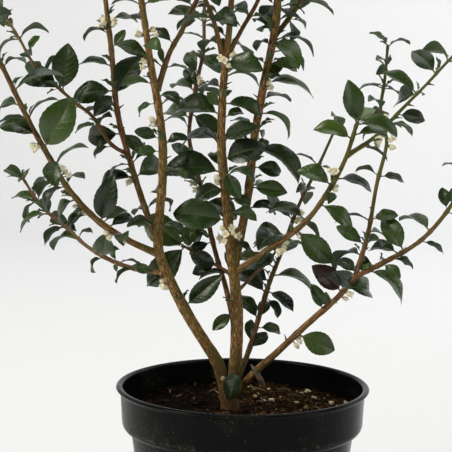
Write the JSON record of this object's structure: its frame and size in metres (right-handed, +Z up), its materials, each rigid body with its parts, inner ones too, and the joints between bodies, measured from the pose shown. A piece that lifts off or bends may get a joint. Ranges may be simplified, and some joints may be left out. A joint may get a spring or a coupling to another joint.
{
  "type": "potted burkwood osmanthus",
  "caption": "Small-leaved evergreen shrub in a black nursery pot, with upright woody stems, opposite dark leaves and clusters of small cream bell flowers.",
  "frame": {"origin": "centre of the pot's underside", "axes": "+Z up from the underside through the pot, +X to the right and -Y towards the viewer as pictured"},
  "size_m": [0.4107, 0.2045, 0.5513],
  "materials": {
    "pot_plastic": "moulded black, satin lip, dusty and lightly scuffed",
    "soil": "damp bark and peat mix, rough",
    "bark": "thin brown bark with fine pale specks",
    "leaf": "dark green, leathery, waxy sheen above and paler and matt below",
    "flower": "cream, soft and matt"
  },
  "bodies": {
    "root": {"pot": "pot_plastic", "soil": "soil", "crown": "bark", "centre_shoot": "leaf", "left_shoot": "leaf", "left_outer_shoot": "leaf", "left_inner_shoot": "leaf", "centre_right_shoot": "leaf", "right_shoot": "leaf", "low_right_shoot": "leaf", "back_left_shoot": "leaf", "back_right_shoot": "leaf"}
  },
  "joints": []
}
